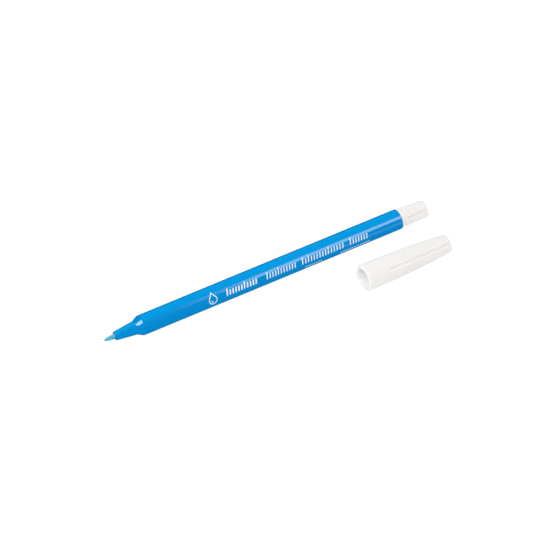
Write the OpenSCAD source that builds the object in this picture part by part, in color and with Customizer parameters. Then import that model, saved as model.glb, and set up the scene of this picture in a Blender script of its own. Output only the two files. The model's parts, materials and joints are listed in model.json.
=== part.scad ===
// Fabric marking pen with a felt nib, a fluted end plug and its cap lying beside it.
// The pen lies along X with its nib at the low end. Z is up and the table is at z = 0.

/* [Barrel] */
// outside diameter of the barrel
barrel_d = 8; // [7.8:0.1:8.4]
// length of the barrel, from the front of its nose to its tail rim
barrel_len = 124.7; // [110:0.1:145]
// thickness of the barrel wall
barrel_wall = 0.8; // [0.6:0.1:1]
// rounding of the barrel's tail rim
rim_round = 0.3; // [0.1:0.1:0.5]

/* [Nose] */
// diameter of the ring at the front of the nose
nose_front_d = 3.6; // [3.2:0.1:4]
// diameter of the nose where its shoulder starts
nose_back_d = 5.4; // [5:0.1:5.8]
// length of the slim nose in front of the shoulder
nose_len = 8.5; // [8:0.1:9.5]
// length of the shoulder from the nose to the full barrel
shoulder_len = 2.9; // [2.5:0.1:4]

/* [Nib] */
// diameter of the felt nib
nib_d = 1.86; // [1.6:0.02:2]
// length of nib that stands out of the nose
nib_out = 4.3; // [3.8:0.1:5]
// length of the nib's pointed end
nib_point_len = 3; // [2.5:0.1:3.5]
// radius of the rounded writing tip
nib_tip_r = 0.35; // [0.2:0.05:0.5]
// length of nib held inside the pen
nib_in = 19; // [17:1:24]

/* [Reservoir] */
// thickness of the film wrapped round the ink fibre
film = 0.1; // [0.05:0.05:0.2]
// gap between the film and the barrel's bore
film_gap = 0.1; // [0.05:0.05:0.2]

/* [End plug] */
// length of plug that stands out of the barrel
plug_out = 11.8; // [10:0.1:14]
// diameter of the plug's collar
collar_d = 7.6; // [7.4:0.1:7.8]
// length of the plug's collar
collar_len = 2.7; // [2:0.1:4]
// diameter of the plug's fluted stub beside the collar
stub_d = 7.4; // [7:0.1:7.4]
// diameter of the stub at its far end
stub_end_d = 6.9; // [6.6:0.1:7]
// length of the plug's stem inside the barrel
stem_len = 8; // [6:0.5:10]

/* [Cap] */
// length of the cap
cap_len = 38.3; // [36:0.1:41]
// outside diameter of the cap at its mouth
cap_d = 10.8; // [10.4:0.1:11.2]
// clearance of the barrel in the cap's bore, on the radius
cap_clearance = 0.08; // [0.04:0.02:0.2]
// depth of the cap's bore, from the mouth to its seat for the barrel's shoulder
bore_depth = 11; // [9:0.5:13]
// length of plain cap before its taper steepens
plain_len = 9.2; // [8:0.1:12]
// radius of the long curve along the fluted length
crown_r = 370; // [340:10:600]
// rounding of the outer edge of the cap's mouth
lip_round = 0.9; // [0.4:0.1:1]

/* [Flutes] */
// number of flutes round the cap and round the plug
flutes = 4; // [3:1:6]
// width of a flute
flute_w = 1.3; // [1:0.1:1.5]
// depth of the cap's flutes
cap_flute = 0.45; // [0.3:0.05:0.6]
// depth of the plug's flutes
plug_flute = 0.4; // [0.3:0.05:0.6]
// plain length left between a flute and the edge of the run that it is cut in
flute_land = 0.3; // [0.2:0.05:0.6]

/* [Placing] */
// distance from the pen's axis to the middle of the cap's mouth
cap_beside = 22.1; // [18:0.1:40]
// distance from the front of the nose to the middle of the cap's mouth
cap_along = 96; // [60:0.1:98]
// angle that the cap is turned on the table, away from parallel
cap_turn = 2.1; // [0:0.1:6]
// how far from its mouth the cap touches the table
cap_touch = 18; // [12:0.5:24]

/* [Hidden] */
$fn = 96;
ROUND_STEPS = 6;
BLEND_STEPS = 12;
PAST = 1;
blue = "deepskyblue";
white = "white";

// barrel and nose
barrel_r = barrel_d / 2;
bore_r = barrel_r - barrel_wall;
nose_front_r = nose_front_d / 2;
nose_back_r = nose_back_d / 2;
nose_round = 0.7;
nib_r = nib_d / 2;
flare_hollow = 0.2;
nib_grip_len = 7;
throat_r = 1.5;
seat_z = nose_len + shoulder_len + 1.3;

// reservoir between the barrel's seat and the plug's stem
wrap_r = bore_r - film_gap;
fibre_r = wrap_r - film;
reservoir_len = barrel_len - stem_len - seat_z;
nib_back_z = nib_in;

// plug
collar_r = collar_d / 2;
stub_r = stub_d / 2;
stub_end_r = stub_end_d / 2;
stub_round = 0.5;
collar_round = 0.3;
core_r = bore_r - 0.9;
core_depth = plug_out - 2.2;
stem_chamfer = 0.5;

// cap
cap_r = cap_d / 2;
cap_bore_r = barrel_r + cap_clearance;
cap_slope = 0.0152;
cap_edge_r = cap_r - cap_slope * plain_len;
mouth_round = 0.2;
cap_end_round = 0.6;
liner_r = 2.95;
liner_front_z = bore_depth + shoulder_len + nose_len - 4.4;
liner_back_z = cap_len - 7.4;
seat_back_z = bore_depth + shoulder_len;
hollow_r = 1.9;
hollow_back_z = cap_len - 1.8;
liner_wall = 0.6;
liner_floor = 0.8;
liner_lead = 0.3;

// placing: the box of the whole part is centred on the origin and stands on z = 0
total_len = nib_out + barrel_len + plug_out;
front_x = nib_out - total_len / 2;
cap_side = cap_beside + cap_r * cos(cap_turn);
pen_y = (cap_side - barrel_r) / 2;
cap_tilt = atan(cap_slope + (cap_touch - plain_len) / crown_r);
cap_z = cap_touch * sin(cap_tilt) + cap_radius(cap_touch) * cos(cap_tilt);
// the flutes' turn about each axis, from the side that faces the cap
plug_roll = 30;
cap_roll = 39;

// radius of the cap's outside at a distance from its mouth
function cap_radius(z) =
    z < plain_len
    ? cap_r - cap_slope * z
    : cap_edge_r - cap_slope * (z - plain_len) - pow(z - plain_len, 2) / (2 * crown_r);

// points of an arc in the plane, with angles in degrees
function arc(x, y, r, from, to) = [
    for (i = [0:ROUND_STEPS])
        let (a = from + (to - from) * i / ROUND_STEPS)
        [x + r * cos(a), y + r * sin(a)]
];

// share of a flare's rise at a share of its length: it starts in a soft hollow, then runs straight
function flare_rise(t) =
    (t < flare_hollow ? t * t / (2 * flare_hollow) : t - flare_hollow / 2) / (1 - flare_hollow / 2);

// points of a flare between two radii
function flare(r_from, r_to, z_from, z_to) = [
    for (i = [0:BLEND_STEPS])
        let (t = i / BLEND_STEPS)
        [r_from + (r_to - r_from) * flare_rise(t), z_from + (z_to - z_from) * t]
];

// points along the cap's outside, moved in by a depth
function cap_side_points(inset, z_from, z_to) = [
    for (i = [0:BLEND_STEPS])
        let (z = z_from + (z_to - z_from) * i / BLEND_STEPS)
        [cap_radius(z) - inset, z]
];

// turns a shape built up the Z axis to lie along the pen, starting at the front of the nose
module along_pen() {
    translate([front_x, pen_y, barrel_r])
        rotate([0, 90, 0])
        children();
}

// turns a shape built up the Z axis to lie as the cap does, starting at its mouth
module along_cap() {
    translate([front_x + cap_along, pen_y - cap_beside, cap_z])
        rotate([0, 90 + cap_tilt, cap_turn])
        children();
}

// slots of one width round the Z axis, seen from the side that faces the viewer of the part
module flute_slots(roll, z_from, z_to, reach) {
    for (i = [0:flutes - 1])
        rotate([0, 0, 270 - roll + i * 360 / flutes])
            translate([0, -flute_w / 2, z_from])
            cube([reach, flute_w, z_to - z_from]);
}

module barrel() {
    color(blue)
        along_pen()
        difference() {
            rotate_extrude()
                polygon(concat(
                    [[0, 0]],
                    arc(nose_front_r - nose_round, nose_round, nose_round, -90, 0),
                    flare(nose_back_r, barrel_r, nose_len, nose_len + shoulder_len),
                    arc(barrel_r - rim_round, barrel_len - rim_round, rim_round, 0, 90),
                    [[0, barrel_len]]
                ));
            translate([0, 0, -PAST])
                cylinder(r = nib_r, h = nib_grip_len + 2 * PAST);
            translate([0, 0, nib_grip_len])
                cylinder(r = throat_r, h = seat_z - nib_grip_len + PAST);
            translate([0, 0, seat_z])
                cylinder(r = bore_r, h = barrel_len - seat_z + PAST);
        }
}

module nib() {
    color("mediumturquoise")
        along_pen()
        rotate_extrude()
        polygon(concat(
            [[0, nib_back_z], [0, -nib_out]],
            arc(0, nib_tip_r - nib_out, nib_tip_r, -90, -20),
            [[nib_r, nib_point_len - nib_out], [nib_r, nib_back_z]]
        ));
}

module ink_reservoir() {
    color("lightcyan")
        along_pen()
        difference() {
            translate([0, 0, seat_z])
                cylinder(r = fibre_r, h = reservoir_len);
            translate([0, 0, seat_z - PAST])
                cylinder(r = nib_r, h = nib_back_z - seat_z + PAST);
        }
}

module reservoir_wrap() {
    color("aliceblue")
        along_pen()
        translate([0, 0, seat_z])
        difference() {
            cylinder(r = wrap_r, h = reservoir_len);
            translate([0, 0, -PAST])
                cylinder(r = fibre_r, h = reservoir_len + 2 * PAST);
        }
}

module end_plug() {
    color(white)
        along_pen()
        translate([0, 0, barrel_len])
        difference() {
            rotate_extrude()
                polygon(concat(
                    [[0, -stem_len], [bore_r - stem_chamfer, -stem_len]],
                    [[bore_r, stem_chamfer - stem_len], [bore_r, 0], [collar_r, 0]],
                    arc(collar_r - collar_round, collar_len - collar_round, collar_round, 0, 60),
                    [[stub_r, collar_len]],
                    arc(stub_end_r - stub_round, plug_out - stub_round, stub_round, 0, 90),
                    [[0, plug_out]]
                ));
            difference() {
                flute_slots(plug_roll, collar_len + flute_land, plug_out + PAST, collar_r);
                translate([0, 0, collar_len - PAST])
                    cylinder(
                        r1 = stub_r - plug_flute,
                        r2 = stub_end_r - plug_flute,
                        h = plug_out - collar_len + 2 * PAST
                    );
            }
            translate([0, 0, -stem_len - PAST])
                cylinder(r = core_r, h = stem_len + core_depth + PAST);
        }
}

module cap() {
    color(white)
        along_cap()
        difference() {
            rotate_extrude()
                polygon(concat(
                    [[0, 0]],
                    arc(cap_r - lip_round, lip_round, lip_round, -90, 0),
                    cap_side_points(0, plain_len, cap_len - cap_end_round),
                    arc(cap_radius(cap_len - cap_end_round) - cap_end_round,
                        cap_len - cap_end_round, cap_end_round, 0, 90),
                    [[0, cap_len]]
                ));
            difference() {
                flute_slots(cap_roll, plain_len + flute_land, cap_len + PAST, cap_r);
                rotate_extrude()
                    polygon(concat(
                        [[0, plain_len - PAST]],
                        cap_side_points(cap_flute, plain_len - PAST, cap_len + PAST),
                        [[0, cap_len + PAST]]
                    ));
            }
            // the inside: mouth, bore for the barrel, seat for its shoulder, liner and hollow end
            rotate_extrude()
                polygon([
                    [0, -PAST],
                    [cap_bore_r + mouth_round + PAST, -PAST],
                    [cap_bore_r, mouth_round],
                    [cap_bore_r, bore_depth],
                    [liner_r, seat_back_z],
                    [liner_r, liner_back_z],
                    [hollow_r, liner_back_z],
                    [hollow_r, hollow_back_z],
                    [0, hollow_back_z]
                ]);
        }
}

module inner_cap() {
    color(white)
        along_cap()
        difference() {
            translate([0, 0, liner_front_z])
                cylinder(r = liner_r, h = liner_back_z - liner_front_z);
            translate([0, 0, liner_front_z - PAST])
                cylinder(r = liner_r - liner_wall, h = liner_back_z - liner_front_z - liner_floor + PAST);
            translate([0, 0, liner_front_z])
                cylinder(r1 = liner_r - liner_wall + liner_lead, r2 = liner_r - liner_wall, h = liner_lead);
        }
}

barrel();
nib();
ink_reservoir();
reservoir_wrap();
end_plug();
cap();
inner_cap();
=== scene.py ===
"""Looks of the fabric marking pen and its cap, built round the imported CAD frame.

Lengths inside the makers are millimetres, and lengths in materials and lights are metres."""

import json
import math

import bmesh
import bpy
from mathutils import Matrix, Vector


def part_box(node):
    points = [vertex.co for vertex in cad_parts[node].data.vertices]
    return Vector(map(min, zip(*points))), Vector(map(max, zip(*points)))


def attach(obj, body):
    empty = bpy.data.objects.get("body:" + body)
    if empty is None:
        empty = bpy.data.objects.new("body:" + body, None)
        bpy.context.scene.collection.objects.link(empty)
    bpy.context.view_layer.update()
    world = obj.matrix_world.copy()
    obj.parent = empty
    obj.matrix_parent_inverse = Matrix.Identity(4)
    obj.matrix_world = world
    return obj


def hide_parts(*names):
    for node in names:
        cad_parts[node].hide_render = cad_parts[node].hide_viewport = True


MM = 0.001
UP = Vector((0, 0, 1))

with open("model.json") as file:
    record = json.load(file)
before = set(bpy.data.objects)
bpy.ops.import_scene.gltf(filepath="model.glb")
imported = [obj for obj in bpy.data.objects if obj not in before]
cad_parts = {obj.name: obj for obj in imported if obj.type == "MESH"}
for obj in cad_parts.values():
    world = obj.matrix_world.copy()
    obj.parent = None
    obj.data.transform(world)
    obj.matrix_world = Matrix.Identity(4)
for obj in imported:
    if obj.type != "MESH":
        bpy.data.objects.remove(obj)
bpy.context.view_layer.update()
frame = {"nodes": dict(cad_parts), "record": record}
mounts = {m["name"]: m for m in frame["record"]["mounts"]}


# ---------------------------------------------------------------- places, from the frame


class Axis:
    """A piece's own axis.

    A point on it is (distance along, radius, angle). The angle starts level, on the camera's
    side of the pen, and goes up."""

    def __init__(self, start, along):
        self.start = Vector(start)
        self.along = Vector(along).normalized()
        self.up = (UP - UP.dot(self.along) * self.along).normalized()
        self.side = self.along.cross(self.up)

    def at(self, z, r, angle):
        outward = self.side * math.cos(angle) + self.up * math.sin(angle)
        return self.start + self.along * (z * MM) + outward * (r * MM)


barrel_low, barrel_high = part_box("barrel")
plug_low, plug_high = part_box("end_plug")
nib_low, nib_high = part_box("nib")
BARREL_R = (barrel_high.z - barrel_low.z) / 2 / MM
BARREL_LEN = (barrel_high.x - barrel_low.x) / MM
NIB_R = (nib_high.z - nib_low.z) / 2 / MM
NIB_OUT = (barrel_low.x - nib_low.x) / MM
NIB_IN = (nib_high.x - barrel_low.x) / MM
PLUG_OUT = (plug_high.x - barrel_high.x) / MM
STEM_LEN = (barrel_high.x - plug_low.x) / MM
pen_axis = Axis(
    (barrel_low.x, (barrel_low.y + barrel_high.y) / 2, (barrel_low.z + barrel_high.z) / 2),
    (1, 0, 0),
)

# the cap's mount is some way inside its mouth, so the mouth is found from the cap's own points
bore = mounts["cap_bore"]
bore_at = Vector(bore["pos_m"])
cap_along = -Vector(bore["axis"])
reach = [
    (v.co - bore_at).dot(cap_along.normalized()) for v in frame["nodes"]["cap"].data.vertices
]
cap_axis = Axis(bore_at + cap_along.normalized() * min(reach), cap_along)
CAP_LEN = (max(reach) - min(reach)) / MM
CAP_BORE_R = bore["dims"]["r_mm"]


# ---------------------------------------------------------------- outlines


def arc(z, r, radius, start, end, steps=6):
    """Points (r, z) of an arc about (r, z).

    Angles are in degrees, from the outward radius towards higher z."""
    out = []
    for i in range(steps + 1):
        angle = math.radians(start + (end - start) * i / steps)
        out.append((r + radius * math.cos(angle), z + radius * math.sin(angle)))
    return out


def plain(points):
    """Points (r, z) as corners without rounding."""
    return [(r, z, 0.0) for r, z in points]


def rounded(corners, steps=5):
    """Points (r, z) through corners (r, z, rounding).

    Each corner is softened by an arc-like curve that starts that far from it."""
    most = 0.48  # share of a side that a curve may take up
    out = []
    for i, (r, z, soft) in enumerate(corners):
        if soft <= 0 or i in (0, len(corners) - 1):
            out.append((r, z))
            continue
        here = Vector((r, z))
        before = Vector(corners[i - 1][:2]) - here
        after = Vector(corners[i + 1][:2]) - here
        a = here + before.normalized() * min(soft, before.length * most)
        b = here + after.normalized() * min(soft, after.length * most)
        for k in range(steps + 1):
            t = k / steps
            p = a * (1 - t) ** 2 + here * (2 * t * (1 - t)) + b * t**2
            out.append((p.x, p.y))
    return out


def spread(points, longest=4.0):
    """The same outline with long straight runs divided, so that a mesh has even faces."""
    out = [points[0]]
    for p in points[1:]:
        q = out[-1]
        parts = math.ceil(math.hypot(p[0] - q[0], p[1] - q[1]) / longest)
        for k in range(1, max(1, parts)):
            t = k / parts
            out.append((q[0] + (p[0] - q[0]) * t, q[1] + (p[1] - q[1]) * t))
        out.append(p)
    return out


# ---------------------------------------------------------------- mesh makers

ON_AXIS = 1e-6
SAME_PLACE = 1e-8


def finish_mesh(name, bm, sharp=35):
    """An object from a bmesh, smooth apart from edges sharper than sharp degrees."""
    bmesh.ops.remove_doubles(bm, verts=bm.verts, dist=SAME_PLACE)
    bmesh.ops.recalc_face_normals(bm, faces=bm.faces)
    mesh = bpy.data.meshes.new(name)
    bm.to_mesh(mesh)
    bm.free()
    for p in mesh.polygons:
        p.use_smooth = True
    mesh.set_sharp_from_angle(angle=math.radians(sharp))
    obj = bpy.data.objects.new(name, mesh)
    bpy.context.scene.collection.objects.link(obj)
    return obj


def turned(name, axis, outer, angles, floor=None, share=None, loop=False, sharp=35):
    """A solid turned about an axis, from an outline of (r, z).

    With floor and share, each point moves from outer to floor by share(i, j). angles is a list
    of functions of the radius, so that a groove keeps its width as the piece tapers. loop joins
    the outline's two ends."""
    bm = bmesh.new()
    rows = []
    for i, (r, z) in enumerate(outer):
        if r < ON_AXIS:
            rows.append([bm.verts.new(axis.at(z, 0, 0))])
            continue
        row = []
        for j, angle in enumerate(angles):
            s = share(i, j) if share else 0
            rr = r + (floor[i][0] - r) * s if s else r
            zz = z + (floor[i][1] - z) * s if s else z
            row.append(bm.verts.new(axis.at(zz, rr, angle(r))))
        rows.append(row)
    pairs = list(zip(rows, rows[1:])) + ([(rows[-1], rows[0])] if loop else [])
    for a, b in pairs:
        n = max(len(a), len(b))
        for j in range(n):
            k = (j + 1) % n
            if len(a) == 1:
                bm.faces.new((a[0], b[k], b[j]))
            elif len(b) == 1:
                bm.faces.new((a[j], a[k], b[0]))
            else:
                bm.faces.new((a[j], a[k], b[k], b[j]))
    return finish_mesh(name, bm, sharp)


def even_angles(n):
    return [lambda r, a=2 * math.pi * i / n: a for i in range(n)]


# across half a flute: distance from its middle in half widths, and share of its depth
FLUTE_SHAPE = [
    (0.0, 1.0), (0.2, 0.985), (0.4, 0.93), (0.56, 0.83), (0.7, 0.68),
    (0.82, 0.48), (0.91, 0.27), (0.98, 0.12), (1.06, 0.03), (1.2, 0.0),
]
SMALLEST_R, WIDEST_SINE = 0.2, 0.55  # keep a flute's angle finite close to the axis


def fluted_angles(first, count, width, between=14):
    """(angle functions, depth share at each) for flutes of one width, the first at an angle."""
    angles, depth = [], []
    sector = 2 * math.pi / count
    half = width / 2
    across = [(-d, s) for d, s in reversed(FLUTE_SHAPE[1:])] + FLUTE_SHAPE
    edge = FLUTE_SHAPE[-1][0] * half

    def side(r, d):
        return math.copysign(math.asin(min(abs(d) / max(r, SMALLEST_R), WIDEST_SINE)), d)

    for f in range(count):
        middle = first + f * sector
        for d, s in across:
            angles.append(lambda r, m=middle, d=d * half: m + side(r, d))
            depth.append(s)
        for k in range(1, between):
            angles.append(
                lambda r, m=middle, t=k / between: m
                + side(r, edge) + (sector - 2 * side(r, edge)) * t
            )
            depth.append(0.0)
    return angles, depth


# ---------------------------------------------------------------- material makers


class Nodes:
    """A short way to build a material's node tree. Noise scales are per metre."""

    def __init__(self, name):
        self.material = bpy.data.materials.new(name)
        self.material.use_nodes = True
        self.tree = self.material.node_tree
        self.shader = self.tree.nodes["Principled BSDF"]
        self.coords = self.add("ShaderNodeTexCoord").outputs["Object"]

    def add(self, kind, **values):
        node = self.tree.nodes.new(kind)
        for key, value in values.items():
            setattr(node, key, value)
        return node

    def feed(self, socket, value):
        """Link a value into a socket, or set it there if it is a number or a colour."""
        if isinstance(value, tuple):
            socket.default_value = (*value, 1)
        elif isinstance(value, (int, float)):
            socket.default_value = value
        else:
            self.tree.links.new(value, socket)

    def set(self, **values):
        for key, value in values.items():
            self.shader.inputs[key.replace("_", " ")].default_value = value

    def placed(self, scale, turn=(0, 0, 0)):
        node = self.add("ShaderNodeMapping")
        node.inputs["Scale"].default_value = scale
        node.inputs["Rotation"].default_value = turn
        self.feed(node.inputs["Vector"], self.coords)
        return node.outputs["Vector"]

    def noise(self, scale, detail=3.0, rough=0.5, where=None):
        node = self.add("ShaderNodeTexNoise")
        node.inputs["Scale"].default_value = scale
        node.inputs["Detail"].default_value = detail
        node.inputs["Roughness"].default_value = rough
        self.feed(node.inputs["Vector"], where or self.coords)
        return node.outputs["Fac"]

    def span(self, value, *limits):
        """A value moved from a range to another, by limits (low, high, new low, new high)."""
        node = self.add("ShaderNodeMapRange")
        self.feed(node.inputs[0], value)
        for i, limit in enumerate(limits):
            node.inputs[i + 1].default_value = limit
        return node.outputs[0]

    def math(self, how, a, b):
        node = self.add("ShaderNodeMath", operation=how)
        self.feed(node.inputs[0], a)
        self.feed(node.inputs[1], b)
        return node.outputs[0]

    def mix(self, a, b, share):
        """share of a number a, and the rest of b."""
        rest = self.math("MULTIPLY", b, 1 - share)
        return self.math("ADD", self.math("MULTIPLY", a, share), rest)

    def ramp(self, value, low, high, ends=(0.3, 0.7)):
        """The colour low up to one end of a value's range, and the colour high past the other."""
        node = self.add("ShaderNodeValToRGB")
        for element, position, colour in zip(node.color_ramp.elements, ends, (low, high)):
            element.position, element.color = position, (*colour, 1)
        self.feed(node.inputs[0], value)
        return node.outputs[0]

    def blend(self, share, a, b):
        node = self.add("ShaderNodeMix", data_type="RGBA")
        for key, value in (("Factor", share), ("A", a), ("B", b)):
            self.feed(node.inputs[key], value)
        return node.outputs["Result"]

    def colour(self, value):
        self.feed(self.shader.inputs["Base Color"], value)

    def roughness(self, value):
        self.feed(self.shader.inputs["Roughness"], value)

    def bump(self, *heights):
        """Each height is (value, strength, distance in metres); they add up."""
        last = None
        for value, strength, distance in heights:
            node = self.add("ShaderNodeBump")
            node.inputs["Strength"].default_value = strength
            node.inputs["Distance"].default_value = distance
            self.feed(node.inputs["Height"], value)
            if last:
                self.feed(node.inputs["Normal"], last)
            last = node.outputs["Normal"]
        self.feed(self.shader.inputs["Normal"], last)


BLUE = (0.0, 0.255, 0.655), (0.0, 0.272, 0.684)
BLUE_WORN = (0.03, 0.40, 0.78)
WHITE = (0.88, 0.858, 0.838), (0.905, 0.884, 0.864)
# a brighter copy of the white for the cap's bore: painted light for daylight through its thin wall
WHITE_PAINTED_BRIGHT = (0.91, 0.885, 0.86), (0.94, 0.915, 0.89)
WHITE_SPECK = (0.62, 0.6, 0.56)
LINER = (0.66, 0.66, 0.65), (0.72, 0.72, 0.71)
NIB = (0.03, 0.38, 0.47), (0.16, 0.56, 0.63)
NIB_WET = (0.0, 0.36, 0.52), (0.03, 0.50, 0.66)
WET_FROM, WET_TO = 0.0010, 0.0026  # metres from the nib's point, where the wet part ends
FIBRE = (0.25, 0.62, 0.74), (0.45, 0.78, 0.86)
PRINT = (0.82, 0.88, 0.92), (0.35, 0.66, 0.88)
FILM = (0.6, 0.78, 0.84), (0.72, 0.86, 0.9)
PAPER = (0.13, 0.13, 0.13), (0.15, 0.15, 0.15)


def blue_plastic():
    m = Nodes("blue_plastic")
    broad = m.noise(55, 2, 0.5, m.placed((0.5, 1, 1)))
    fine = m.noise(900, 4, 0.6, m.placed((0.35, 1, 1)))
    drawn = m.noise(1400, 3, 0.55, m.placed((0.02, 1, 1)))
    scuffs = m.noise(2600, 2, 0.5, m.placed((0.12, 1, 1), (0, 0, 0.35)))
    places = m.span(broad, 0.45, 0.6, 0, 0.10)
    worn = m.math("MULTIPLY", m.span(scuffs, 0.66, 0.76, 0, 1), places)
    m.colour(m.blend(worn, m.ramp(broad, *BLUE), BLUE_WORN))
    dulled = m.math("MULTIPLY", worn, 1.2)
    m.roughness(m.math("ADD", m.span(fine, 0.3, 0.7, 0.07, 0.12), dulled))
    m.set(Specular_IOR_Level=0.5)
    m.bump((drawn, 0.10, 0.00002), (fine, 0.08, 0.00002))
    return m.material


def white_plastic(name, shades, rough=(0.45, 0.55), through=(0.4, 0.0006)):
    """through is how much light enters the plastic, and how far it goes in metres."""
    m = Nodes(name)
    broad = m.noise(70, 2, 0.5)
    fine = m.noise(1300, 4, 0.6)
    speck = m.noise(5200, 1, 0.4)
    places = m.span(broad, 0.5, 0.62, 0, 0.12)
    worn = m.math("MULTIPLY", m.span(speck, 0.7, 0.8, 0, 1), places)
    m.colour(m.blend(worn, m.ramp(broad, *shades), WHITE_SPECK))
    m.roughness(m.span(fine, 0.3, 0.7, *rough))
    m.set(Specular_IOR_Level=0.08, Subsurface_Weight=through[0], Subsurface_Scale=through[1])
    m.set(Subsurface_Radius=(1.0, 0.95, 0.9))
    m.bump((fine, 0.10, 0.00002), (speck, 0.05, 0.00001))
    return m.material


def felt(name, shades, point=None):
    """Bonded fibre: streaks along the axis, mottled by the ink it holds, with a dry surface.

    With point, the x of a nib's point in metres, the fibre there is wet with fresh ink."""
    m = Nodes(name)
    streaks = m.noise(9000, 3, 0.7, m.placed((0.06, 1, 1)))
    mottle = m.noise(1150, 2, 0.6)
    base = m.ramp(m.mix(streaks, mottle, 0.35), *shades, ends=(0.43, 0.56))
    if point is not None:
        split = m.add("ShaderNodeSeparateXYZ")
        m.feed(split.inputs[0], m.coords)
        ragged = m.math("ADD", split.outputs["X"], m.span(mottle, 0.3, 0.7, -0.0005, 0.0005))
        wet = m.span(ragged, point + WET_FROM, point + WET_TO, 1, 0)
        base = m.blend(wet, base, m.blend(mottle, *NIB_WET))
    m.colour(base)
    m.roughness(m.span(streaks, 0.3, 0.7, 0.55, 0.85))
    m.set(Specular_IOR_Level=0.35, Sheen_Weight=0.15, Sheen_Roughness=0.5)
    m.bump((streaks, 0.5, 0.00006), (mottle, 0.25, 0.00005))
    return m.material


def white_ink():
    m = Nodes("white_ink")
    patch = m.noise(2500, 3, 0.6)
    thin = m.noise(600, 2, 0.5)
    m.colour(m.blend(m.span(patch, 0.45, 0.75, 0, 0.35), *PRINT))
    m.roughness(m.span(thin, 0.3, 0.7, 0.35, 0.55))
    m.set(Specular_IOR_Level=0.3)
    m.bump((patch, 0.3, 0.00001))
    return m.material


def film():
    m = Nodes("clear_film")
    crease = m.noise(500, 3, 0.6, m.placed((0.2, 1, 1)))
    m.colour(m.ramp(crease, *FILM))
    m.roughness(m.span(crease, 0.3, 0.7, 0.1, 0.25))
    m.bump((crease, 0.3, 0.00005))
    return m.material


def pale_paper():
    m = Nodes("pale_paper")
    m.colour(m.ramp(m.noise(40, 3, 0.5), *PAPER))
    m.set(Roughness=0.9, Specular_IOR_Level=0.0)
    m.set(Emission_Color=(1, 1, 1, 1), Emission_Strength=0.95)
    return m.material


def dress(obj, material, body, node=None):
    """Give a new piece its material and its body, and hide the CAD node it stands for."""
    obj.data.materials.append(material)
    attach(obj, body)
    if node:
        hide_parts(node)
    return obj


def carry(node, material):
    """A CAD node that stays gets its material on its own slots."""
    mesh = frame["nodes"][node].data
    if not mesh.materials:
        mesh.materials.append(material)
    for i in range(len(mesh.materials)):
        mesh.materials[i] = material


# ---------------------------------------------------------------- barrel and nose

NOSE_FRONT_R, NOSE_BACK_R, NOSE_LEN, SHOULDER_LEN = 1.8, 2.7, 8.5, 2.9
NOSE_ROUND = 0.7  # of the nose's front edge
FLARE_HOLLOW = 0.2  # share of the shoulder over which its slope builds up
SHOULDER_SOFT = 1.2  # of the edge where the shoulder meets the barrel
RIM_ROUND, RIM_INNER_ROUND = 0.3, 0.12
BORE_R = BARREL_R - 0.8
THROAT_R, NIB_GRIP = 1.5, 7.0  # passage behind the nib's grip, and the grip's length
SEAT = NOSE_LEN + SHOULDER_LEN + 1.3  # where the bore for the reservoir starts
BARREL_SIDES, NIB_SIDES = 160, 48


def flare(steps=16):
    """The nose's back edge and the shoulder, up to the barrel's full radius."""
    out = []
    for i in range(steps + 1):
        t = i / steps
        rise = t * t / (2 * FLARE_HOLLOW) if t < FLARE_HOLLOW else t - FLARE_HOLLOW / 2
        rise /= 1 - FLARE_HOLLOW / 2
        soft = SHOULDER_SOFT if i == steps else 0.0
        r = NOSE_BACK_R + (BARREL_R - NOSE_BACK_R) * rise
        out.append((r, NOSE_LEN + SHOULDER_LEN * t, soft))
    return out


front = arc(NOSE_ROUND, NOSE_FRONT_R - NOSE_ROUND, NOSE_ROUND, -90, 0)
outline = rounded(
    [(NIB_R, 0.25, 0), (NIB_R + 0.1, 0.0, 0.05)]
    + plain(front)
    + flare()
    + [
        (BARREL_R, BARREL_LEN, RIM_ROUND),
        (BORE_R, BARREL_LEN, RIM_INNER_ROUND),
        (BORE_R, SEAT, 0.0),
        (THROAT_R, SEAT, 0.0),
        (THROAT_R, NIB_GRIP, 0.0),
        (NIB_R, NIB_GRIP, 0.0),
    ]
)
shell = turned("barrel_shell", pen_axis, spread(outline), even_angles(BARREL_SIDES), loop=True)
dress(shell, blue_plastic(), "pen", "barrel")


# ---------------------------------------------------------------- nib

POINT_R = 0.35
# the nib's radius at distances from its point
SWELL = (
    (0.45, 0.5), (0.56, 0.85), (0.67, 1.25), (0.77, 1.7),
    (0.85, 2.15), (0.905, 2.6), (NIB_R, 3.0),
)

point = [(0.0, -NIB_OUT)]
for degrees in range(-80, -19, 10):
    angle = math.radians(degrees)
    point.append((POINT_R * math.cos(angle), -NIB_OUT + POINT_R + POINT_R * math.sin(angle)))
swell = [(r, -NIB_OUT + z) for r, z in SWELL]
stem = [
    (NIB_R, -0.6),
    (NIB_R - 0.01, 0.0),
    (NIB_R, 0.4),
    (NIB_R, NIB_IN - 0.2),
    (NIB_R - 0.2, NIB_IN),
    (0.0, NIB_IN),
]
outline = spread(point + swell + stem, 1.0)
nib = turned("nib_felt", pen_axis, outline, even_angles(NIB_SIDES), sharp=50)
dress(nib, felt("felt_nib_fibre", NIB, nib_low.x), "pen", "nib")


# ---------------------------------------------------------------- fluted pieces

FLUTES, FLUTE_W, CAP_FLUTE, PLUG_FLUTE = 4, 1.3, 0.45, 0.4
PLUG_ROLL, CAP_ROLL = 30, 39  # angle of each piece's first flute, in degrees
LAND = 0.3  # plain length between a flute and the edge of its run
FLOOR_ROUND = 0.12  # of a flute's floor at the piece's end
# how a flute starts: distance along, and share of its depth
FLUTE_START = ((-0.16, 0.0), (-0.04, 0.03), (0.02, 0.25), (0.06, 0.75), (0.12, 0.95), (0.24, 1.0))
# the small sunk mark that the mould's gate leaves: radius, and how far it is from the end
GATE_MARK = ((0.62, 0.0), (0.55, -0.04), (0.5, -0.12), (0.2, -0.12), (0.0, -0.12))


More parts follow.
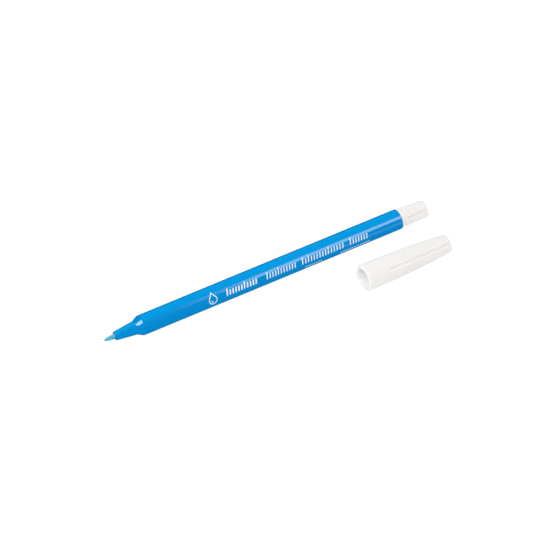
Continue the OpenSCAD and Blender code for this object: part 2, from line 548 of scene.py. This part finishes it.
def fluted_run(radius, z_from, z_to, depth, end_round, rings):
    """(outer, floor, share) along a fluted run.

    It starts abruptly at z_from and runs out through a rounded end at z_to."""
    outer, floor, share = [], [], []

    def ring(r, z, floor_r, floor_z, part):
        outer.append((r, z))
        floor.append((floor_r, floor_z))
        share.append(part)

    for dz, part in FLUTE_START:
        z = z_from + dz
        ring(radius(z), z, radius(z) - depth, z, part)
    settled = FLUTE_START[-1][0]
    last = z_to - end_round
    for i in range(1, rings + 1):
        z = z_from + settled + (last - z_from - settled) * i / rings
        ring(radius(z), z, radius(z) - depth, z, 1.0)
    flat = radius(last) - end_round
    inner = radius(last) - depth - FLOOR_ROUND
    for (r, z), (floor_r, floor_z) in zip(
        arc(last, flat, end_round, 0, 90, 7)[1:],
        arc(z_to - FLOOR_ROUND, inner, FLOOR_ROUND, 0, 90, 7)[1:],
    ):
        ring(r, z, floor_r, floor_z, 1.0)
    for t, part in ((0.8, 1.0), (0.55, 0.0), (0.3, 0.0)):
        ring(flat * t, z_to, min(flat, inner) * t, z_to, part)
    for r, dz in GATE_MARK:
        ring(r, z_to + dz, r, z_to + dz, 0.0)
    return outer, floor, share


def fluted_piece(name, axis, inside, longest, run, first):
    """A turned piece whose outline runs from its inside to its fluted run."""
    outer, floor, along = run
    before = inside[:1] + spread(inside[1:], longest)
    angles, across = fluted_angles(math.radians(first), FLUTES, FLUTE_W)
    shares = [0.0] * len(before) + along
    return turned(
        name,
        axis,
        before + outer,
        angles,
        floor=before + floor,
        share=lambda i, j: shares[i] * across[j],
        sharp=38,
    )


COLLAR_R, COLLAR_LEN, STUB_R, STUB_END_R = 3.8, 2.7, 3.7, 3.45
CORE_R = BORE_R - 0.9
COLLAR_END, PLUG_END = BARREL_LEN + COLLAR_LEN, BARREL_LEN + PLUG_OUT
CORE_END = PLUG_END - 2.2


def stub_radius(z):
    return STUB_R + (STUB_END_R - STUB_R) * (z - COLLAR_END) / (PLUG_OUT - COLLAR_LEN)


inside = rounded(
    [
        (0.0, CORE_END, 0),
        (CORE_R, CORE_END, 0.3),
        (CORE_R, BARREL_LEN - STEM_LEN, 0.15),
        (BORE_R, BARREL_LEN - STEM_LEN, 0.5),
        (BORE_R, BARREL_LEN, 0.0),
        (COLLAR_R, BARREL_LEN, 0.12),
        (COLLAR_R, COLLAR_END, 0.2),
        (STUB_R, COLLAR_END, 0.02),
        (STUB_R, COLLAR_END + 0.05, 0.0),
    ]
)
run = fluted_run(stub_radius, COLLAR_END + LAND, PLUG_END, PLUG_FLUTE, 0.5, 8)
plug = fluted_piece("end_plug_shell", pen_axis, inside, 3.0, run, PLUG_ROLL)
dress(plug, white_plastic("white_plug_plastic", WHITE), "pen", "end_plug")

CAP_R, PLAIN_LEN, SLOPE, CROWN_R, LIP_ROUND = 5.4, 9.2, 0.0152, 370.0, 0.9
BORE_DEPTH, SEAT_R, LINER_R = 11.0, 2.95, 1.9
LINER_FRONT, LINER_BACK = CAP_LEN - 7.4, CAP_LEN - 1.8


def cap_radius(z):
    past = max(0.0, z - PLAIN_LEN)
    return CAP_R - SLOPE * z - past * past / (2 * CROWN_R)


inside = rounded(
    [
        (0.0, LINER_BACK, 0),
        (LINER_R, LINER_BACK, 0.3),
        (LINER_R, LINER_FRONT, 0.0),
        (SEAT_R, LINER_FRONT, 0.0),
        (SEAT_R, BORE_DEPTH + SHOULDER_LEN, 0.3),
        (CAP_BORE_R, BORE_DEPTH, 0.3),
        (CAP_BORE_R, 0.0, 0.25),
    ]
    + plain(arc(LIP_ROUND, cap_radius(LIP_ROUND) - LIP_ROUND, LIP_ROUND, -90, 0, 8))
    + plain([(cap_radius(PLAIN_LEN), PLAIN_LEN)])
)
run = fluted_run(cap_radius, PLAIN_LEN + LAND, CAP_LEN, CAP_FLUTE, 0.6, 24)
cap = fluted_piece("cap_shell", cap_axis, inside, 2.0, run, CAP_ROLL)
dress(cap, white_plastic("white_cap_plastic", WHITE), "cap", "cap")

# daylight comes through the thin wall round the bore, so its faces are more translucent, and their
# brighter white is painted light for that daylight
cap.data.materials.append(white_plastic("white_bore_plastic", WHITE_PAINTED_BRIGHT, through=(1.0, 0.005)))
for face in cap.data.polygons:
    offset = (face.center - cap_axis.start) / MM
    depth = offset.dot(cap_axis.along)
    from_axis = (offset - cap_axis.along * depth).length
    if depth < PLAIN_LEN and from_axis < CAP_BORE_R + 0.15:
        face.material_index = 1


# ---------------------------------------------------------------- pieces inside, kept from the CAD

carry("ink_reservoir", felt("ink_fibre", FIBRE))
carry("reservoir_wrap", film())
carry("inner_cap", white_plastic("liner_plastic", LINER, (0.45, 0.6)))


# ---------------------------------------------------------------- printed marks

PRINT_TOP, PRINT_ROOT = BARREL_R + 0.025, BARREL_R - 0.03
ink = white_ink()


def arc_mm(degrees):
    return math.radians(degrees) * BARREL_R


def wrapped(bm, rows, r):
    return [[bm.verts.new(pen_axis.at(x, r, v / BARREL_R)) for x, v in row] for row in rows]


def printed(name, patches):
    """White marks wrapped on the barrel.

    Each patch is a list of rows across the mark, and each row is a list of points (along the
    pen, round it from the level side, both mm). Where the last row is the first, it is a ring."""
    bm = bmesh.new()
    for rows in patches:
        top, low = wrapped(bm, rows, PRINT_TOP), wrapped(bm, rows, PRINT_ROOT)
        n, m = len(rows), len(rows[0])
        for i in range(n - 1):
            for j in range(m - 1):
                bm.faces.new((top[i][j], top[i][j + 1], top[i + 1][j + 1], top[i + 1][j]))
                bm.faces.new((low[i][j], low[i + 1][j], low[i + 1][j + 1], low[i][j + 1]))
        rim = [((i, j), (i + 1, j)) for i in range(n - 1) for j in (0, m - 1)]
        if rows[0] != rows[-1]:
            rim += [((i, j), (i, j + 1)) for i in (0, n - 1) for j in range(m - 1)]
        for (i, j), (k, l) in rim:
            bm.faces.new((top[i][j], low[i][j], low[k][l], top[k][l]))
    dress(finish_mesh(name, bm), ink, "pen")


def stitch(x, v, length, width, slant, steps=6):
    """A slanted stitch with cut ends, centred at (x, v) and length long round the barrel."""
    rows = []
    for i in range(steps + 1):
        y = (i / steps - 0.5) * length
        half = width / 2 * (0.55 if i in (0, steps) else 1.0)
        middle = x + y * slant
        rows.append([(middle - half, v + y), (middle, v + y), (middle + half, v + y)])
    return rows


# rows of stitches: where each starts and ends along the pen, its pitch and its stitches' width
STITCH_LINE = arc_mm(31.3)
STITCH_GROUPS = (
    (47.3, 59.9, 1.26, 0.62),
    (64.8, 77.0, 1.22, 0.46),
    (80.4, 98.1, 1.26, 0.46),
    (101.5, 108.7, 1.2, 0.46),
)
TALL, SHORT, TALL_LIFT = 2.87, 2.16, 0.36
FINE_LINE, FINE_ROWS, FINE_PITCH = arc_mm(-9), ((81.5, 89.3), (97.1, 111.2)), 0.95

patches = []
for g, (x_from, x_to, pitch, wide) in enumerate(STITCH_GROUPS):
    for k in range(int((x_to - x_from) / pitch) + 1):
        tall = k == 0 or (k * 5 + g * 3) % 7 == 2
        v = STITCH_LINE + (TALL_LIFT if tall else 0.0)
        patches.append(stitch(x_from + k * pitch, v, TALL if tall else SHORT, wide, 0.2))
printed("print_stitches", patches)

patches = []
for x_from, x_to in FINE_ROWS:
    for k in range(int((x_to - x_from) / FINE_PITCH)):
        patches.append(stitch(x_from + k * FINE_PITCH, FINE_LINE, 0.42, 0.6, 0.1, 3))
printed("print_fine_row", patches)

DROP_X, DROP_V = 41.0, arc_mm(25.6)
DROP_R, DROP_POINT = 1.35, 1.15  # the drop's round part, and how far its point is pulled out
DROP_LINE = (1.35, 1.08)  # the outline's outer and inner edge, as scales of the drop
GLEAM_LINE, GLEAM_FROM, GLEAM_SWEEP = (0.9, 0.58), 200, 75


def drop_outline(steps=40):
    """A water drop, point upwards, about (0, 0)."""
    out = []
    for i in range(steps):
        a = 2 * math.pi * i / steps
        pull = max(0.0, math.sin(a)) ** 6
        x = DROP_R * math.cos(a) * (1 - 0.75 * pull)
        out.append((x, DROP_R * math.sin(a) + DROP_POINT * pull))
    return out


def drop_line(points, scales):
    return [[(DROP_X + x * k, DROP_V + v * k) for k in scales] for x, v in points]


edge = drop_outline()
gleam = [math.radians(GLEAM_FROM + GLEAM_SWEEP * i / 12) for i in range(13)]
ring = drop_line(edge + edge[:1], DROP_LINE)
inner = drop_line([(math.cos(a), math.sin(a)) for a in gleam], GLEAM_LINE)
printed("print_drop", [ring, inner])


# ---------------------------------------------------------------- floor, light and camera

FLOOR_HALF = 4
corners = [
    (x * FLOOR_HALF, y * FLOOR_HALF, 0) for x, y in ((-1, -1), (1, -1), (1, 1), (-1, 1))
]
floor_mesh = bpy.data.meshes.new("floor")
floor_mesh.from_pydata(corners, [], [(0, 1, 2, 3)])
floor = bpy.data.objects.new("floor", floor_mesh)
floor_mesh.materials.append(pale_paper())
floor.visible_glossy = False
scene = bpy.context.scene
scene.collection.objects.link(floor)

# a white surround, brighter from above, that makes soft light but no reflections
SKY = (-0.1, 0.9, 0.66, 0.80)  # from and to a direction's height, and the strength at each
world = bpy.data.worlds.new("studio")
scene.world = world
world.use_nodes = True
world.cycles_visibility.glossy = False
tree = world.node_tree
back = tree.nodes["Background"]
back.inputs["Color"].default_value = (1, 1, 1, 1)
coords = tree.nodes.new("ShaderNodeTexCoord")
split = tree.nodes.new("ShaderNodeSeparateXYZ")
rise = tree.nodes.new("ShaderNodeMapRange")
rise.interpolation_type = "SMOOTHSTEP"
for i, value in enumerate(SKY):
    rise.inputs[i + 1].default_value = value
tree.links.new(coords.outputs["Generated"], split.inputs[0])
tree.links.new(split.outputs["Z"], rise.inputs[0])
tree.links.new(rise.outputs[0], back.inputs["Strength"])


def softbox(name, aim, direction, distance, wide, long, power, across, glint, tint):
    """A rectangular light that faces aim from a direction, its long side along across.

    It makes either reflections only (glint) or soft light only."""
    data = bpy.data.lights.new(name, "AREA")
    data.shape = "RECTANGLE"
    data.size, data.size_y = long, wide
    data.energy = power
    data.color = tint
    obj = bpy.data.objects.new(name, data)
    obj.visible_diffuse = not glint
    obj.visible_glossy = glint
    scene.collection.objects.link(obj)
    d = Vector(direction).normalized()
    x = Vector(across) - Vector(across).dot(d) * d
    x.normalize()
    turn = Matrix((x, d.cross(x), d)).transposed().to_4x4()
    obj.matrix_world = Matrix.Translation(Vector(aim) + d * distance) @ turn


tail = pen_axis.at(BARREL_LEN, 0, 0)
shoulder = pen_axis.at(NOSE_LEN + SHOULDER_LEN / 2, 0, 0)
ALONG, ACROSS = (1, 0, 0), (0, 1, 0)
# reflections of a pale studio: pure white ones would add red to the blue plastic
NEUTRAL, CYAN, SEA = (1, 1, 1), (0.84, 1.0, 0.88), (0.0, 0.62, 1.0)
# name, aim, direction, distance, wide, long, power, long side, glint, tint
for light in (
    ("stripe_long", tail + Vector((0.092, 0, 0)), (0.346, -0.43, 0.833), 0.6,
     0.31, 0.36, 0.58, ALONG, True, CYAN),
    ("stripe_tail", tail + Vector((0.122, 0, 0)), (0.346, -0.538, 0.7685), 0.6,
     0.31, 0.36, 1.6, ALONG, True, CYAN),
    ("wedge", shoulder, (-0.46, -0.06, 0.88), 0.6,
     0.26, 0.36, 3.3, ACROSS, True, NEUTRAL),
    ("sheen", Vector(), (0.346, 0.538, 0.768), 1.5,
     2.8, 1.2, 24, ALONG, True, SEA),
    ("window", Vector(), (-0.47, -0.107, 0.874), 1.5,
     0.7, 0.7, 7.2, ALONG, False, NEUTRAL),
):
    softbox(*light)

AZIMUTH, ELEVATION, DISTANCE = math.radians(-29.875), math.radians(46.0), 2.5
PX_PER_MM, IMAGE, SENSOR = 2.62, 533, 36
aim = pen_axis.start + Vector((68.157, 3.158, 0)) * MM
level = math.cos(ELEVATION)
backwards = Vector(
    (math.sin(AZIMUTH) * level, -math.cos(AZIMUTH) * level, math.sin(ELEVATION))
)
camera_data = bpy.data.cameras.new("camera")
camera_data.sensor_width = SENSOR
camera_data.lens = SENSOR * DISTANCE / (IMAGE / PX_PER_MM * MM)
camera_data.clip_start, camera_data.clip_end = 0.1, 20
camera = bpy.data.objects.new("camera", camera_data)
scene.collection.objects.link(camera)
camera.location = aim + backwards * DISTANCE
camera.rotation_mode = "QUATERNION"
camera.rotation_quaternion = (-backwards).to_track_quat("-Z", "Y")
scene.camera = camera
scene.view_settings.view_transform = "Standard"
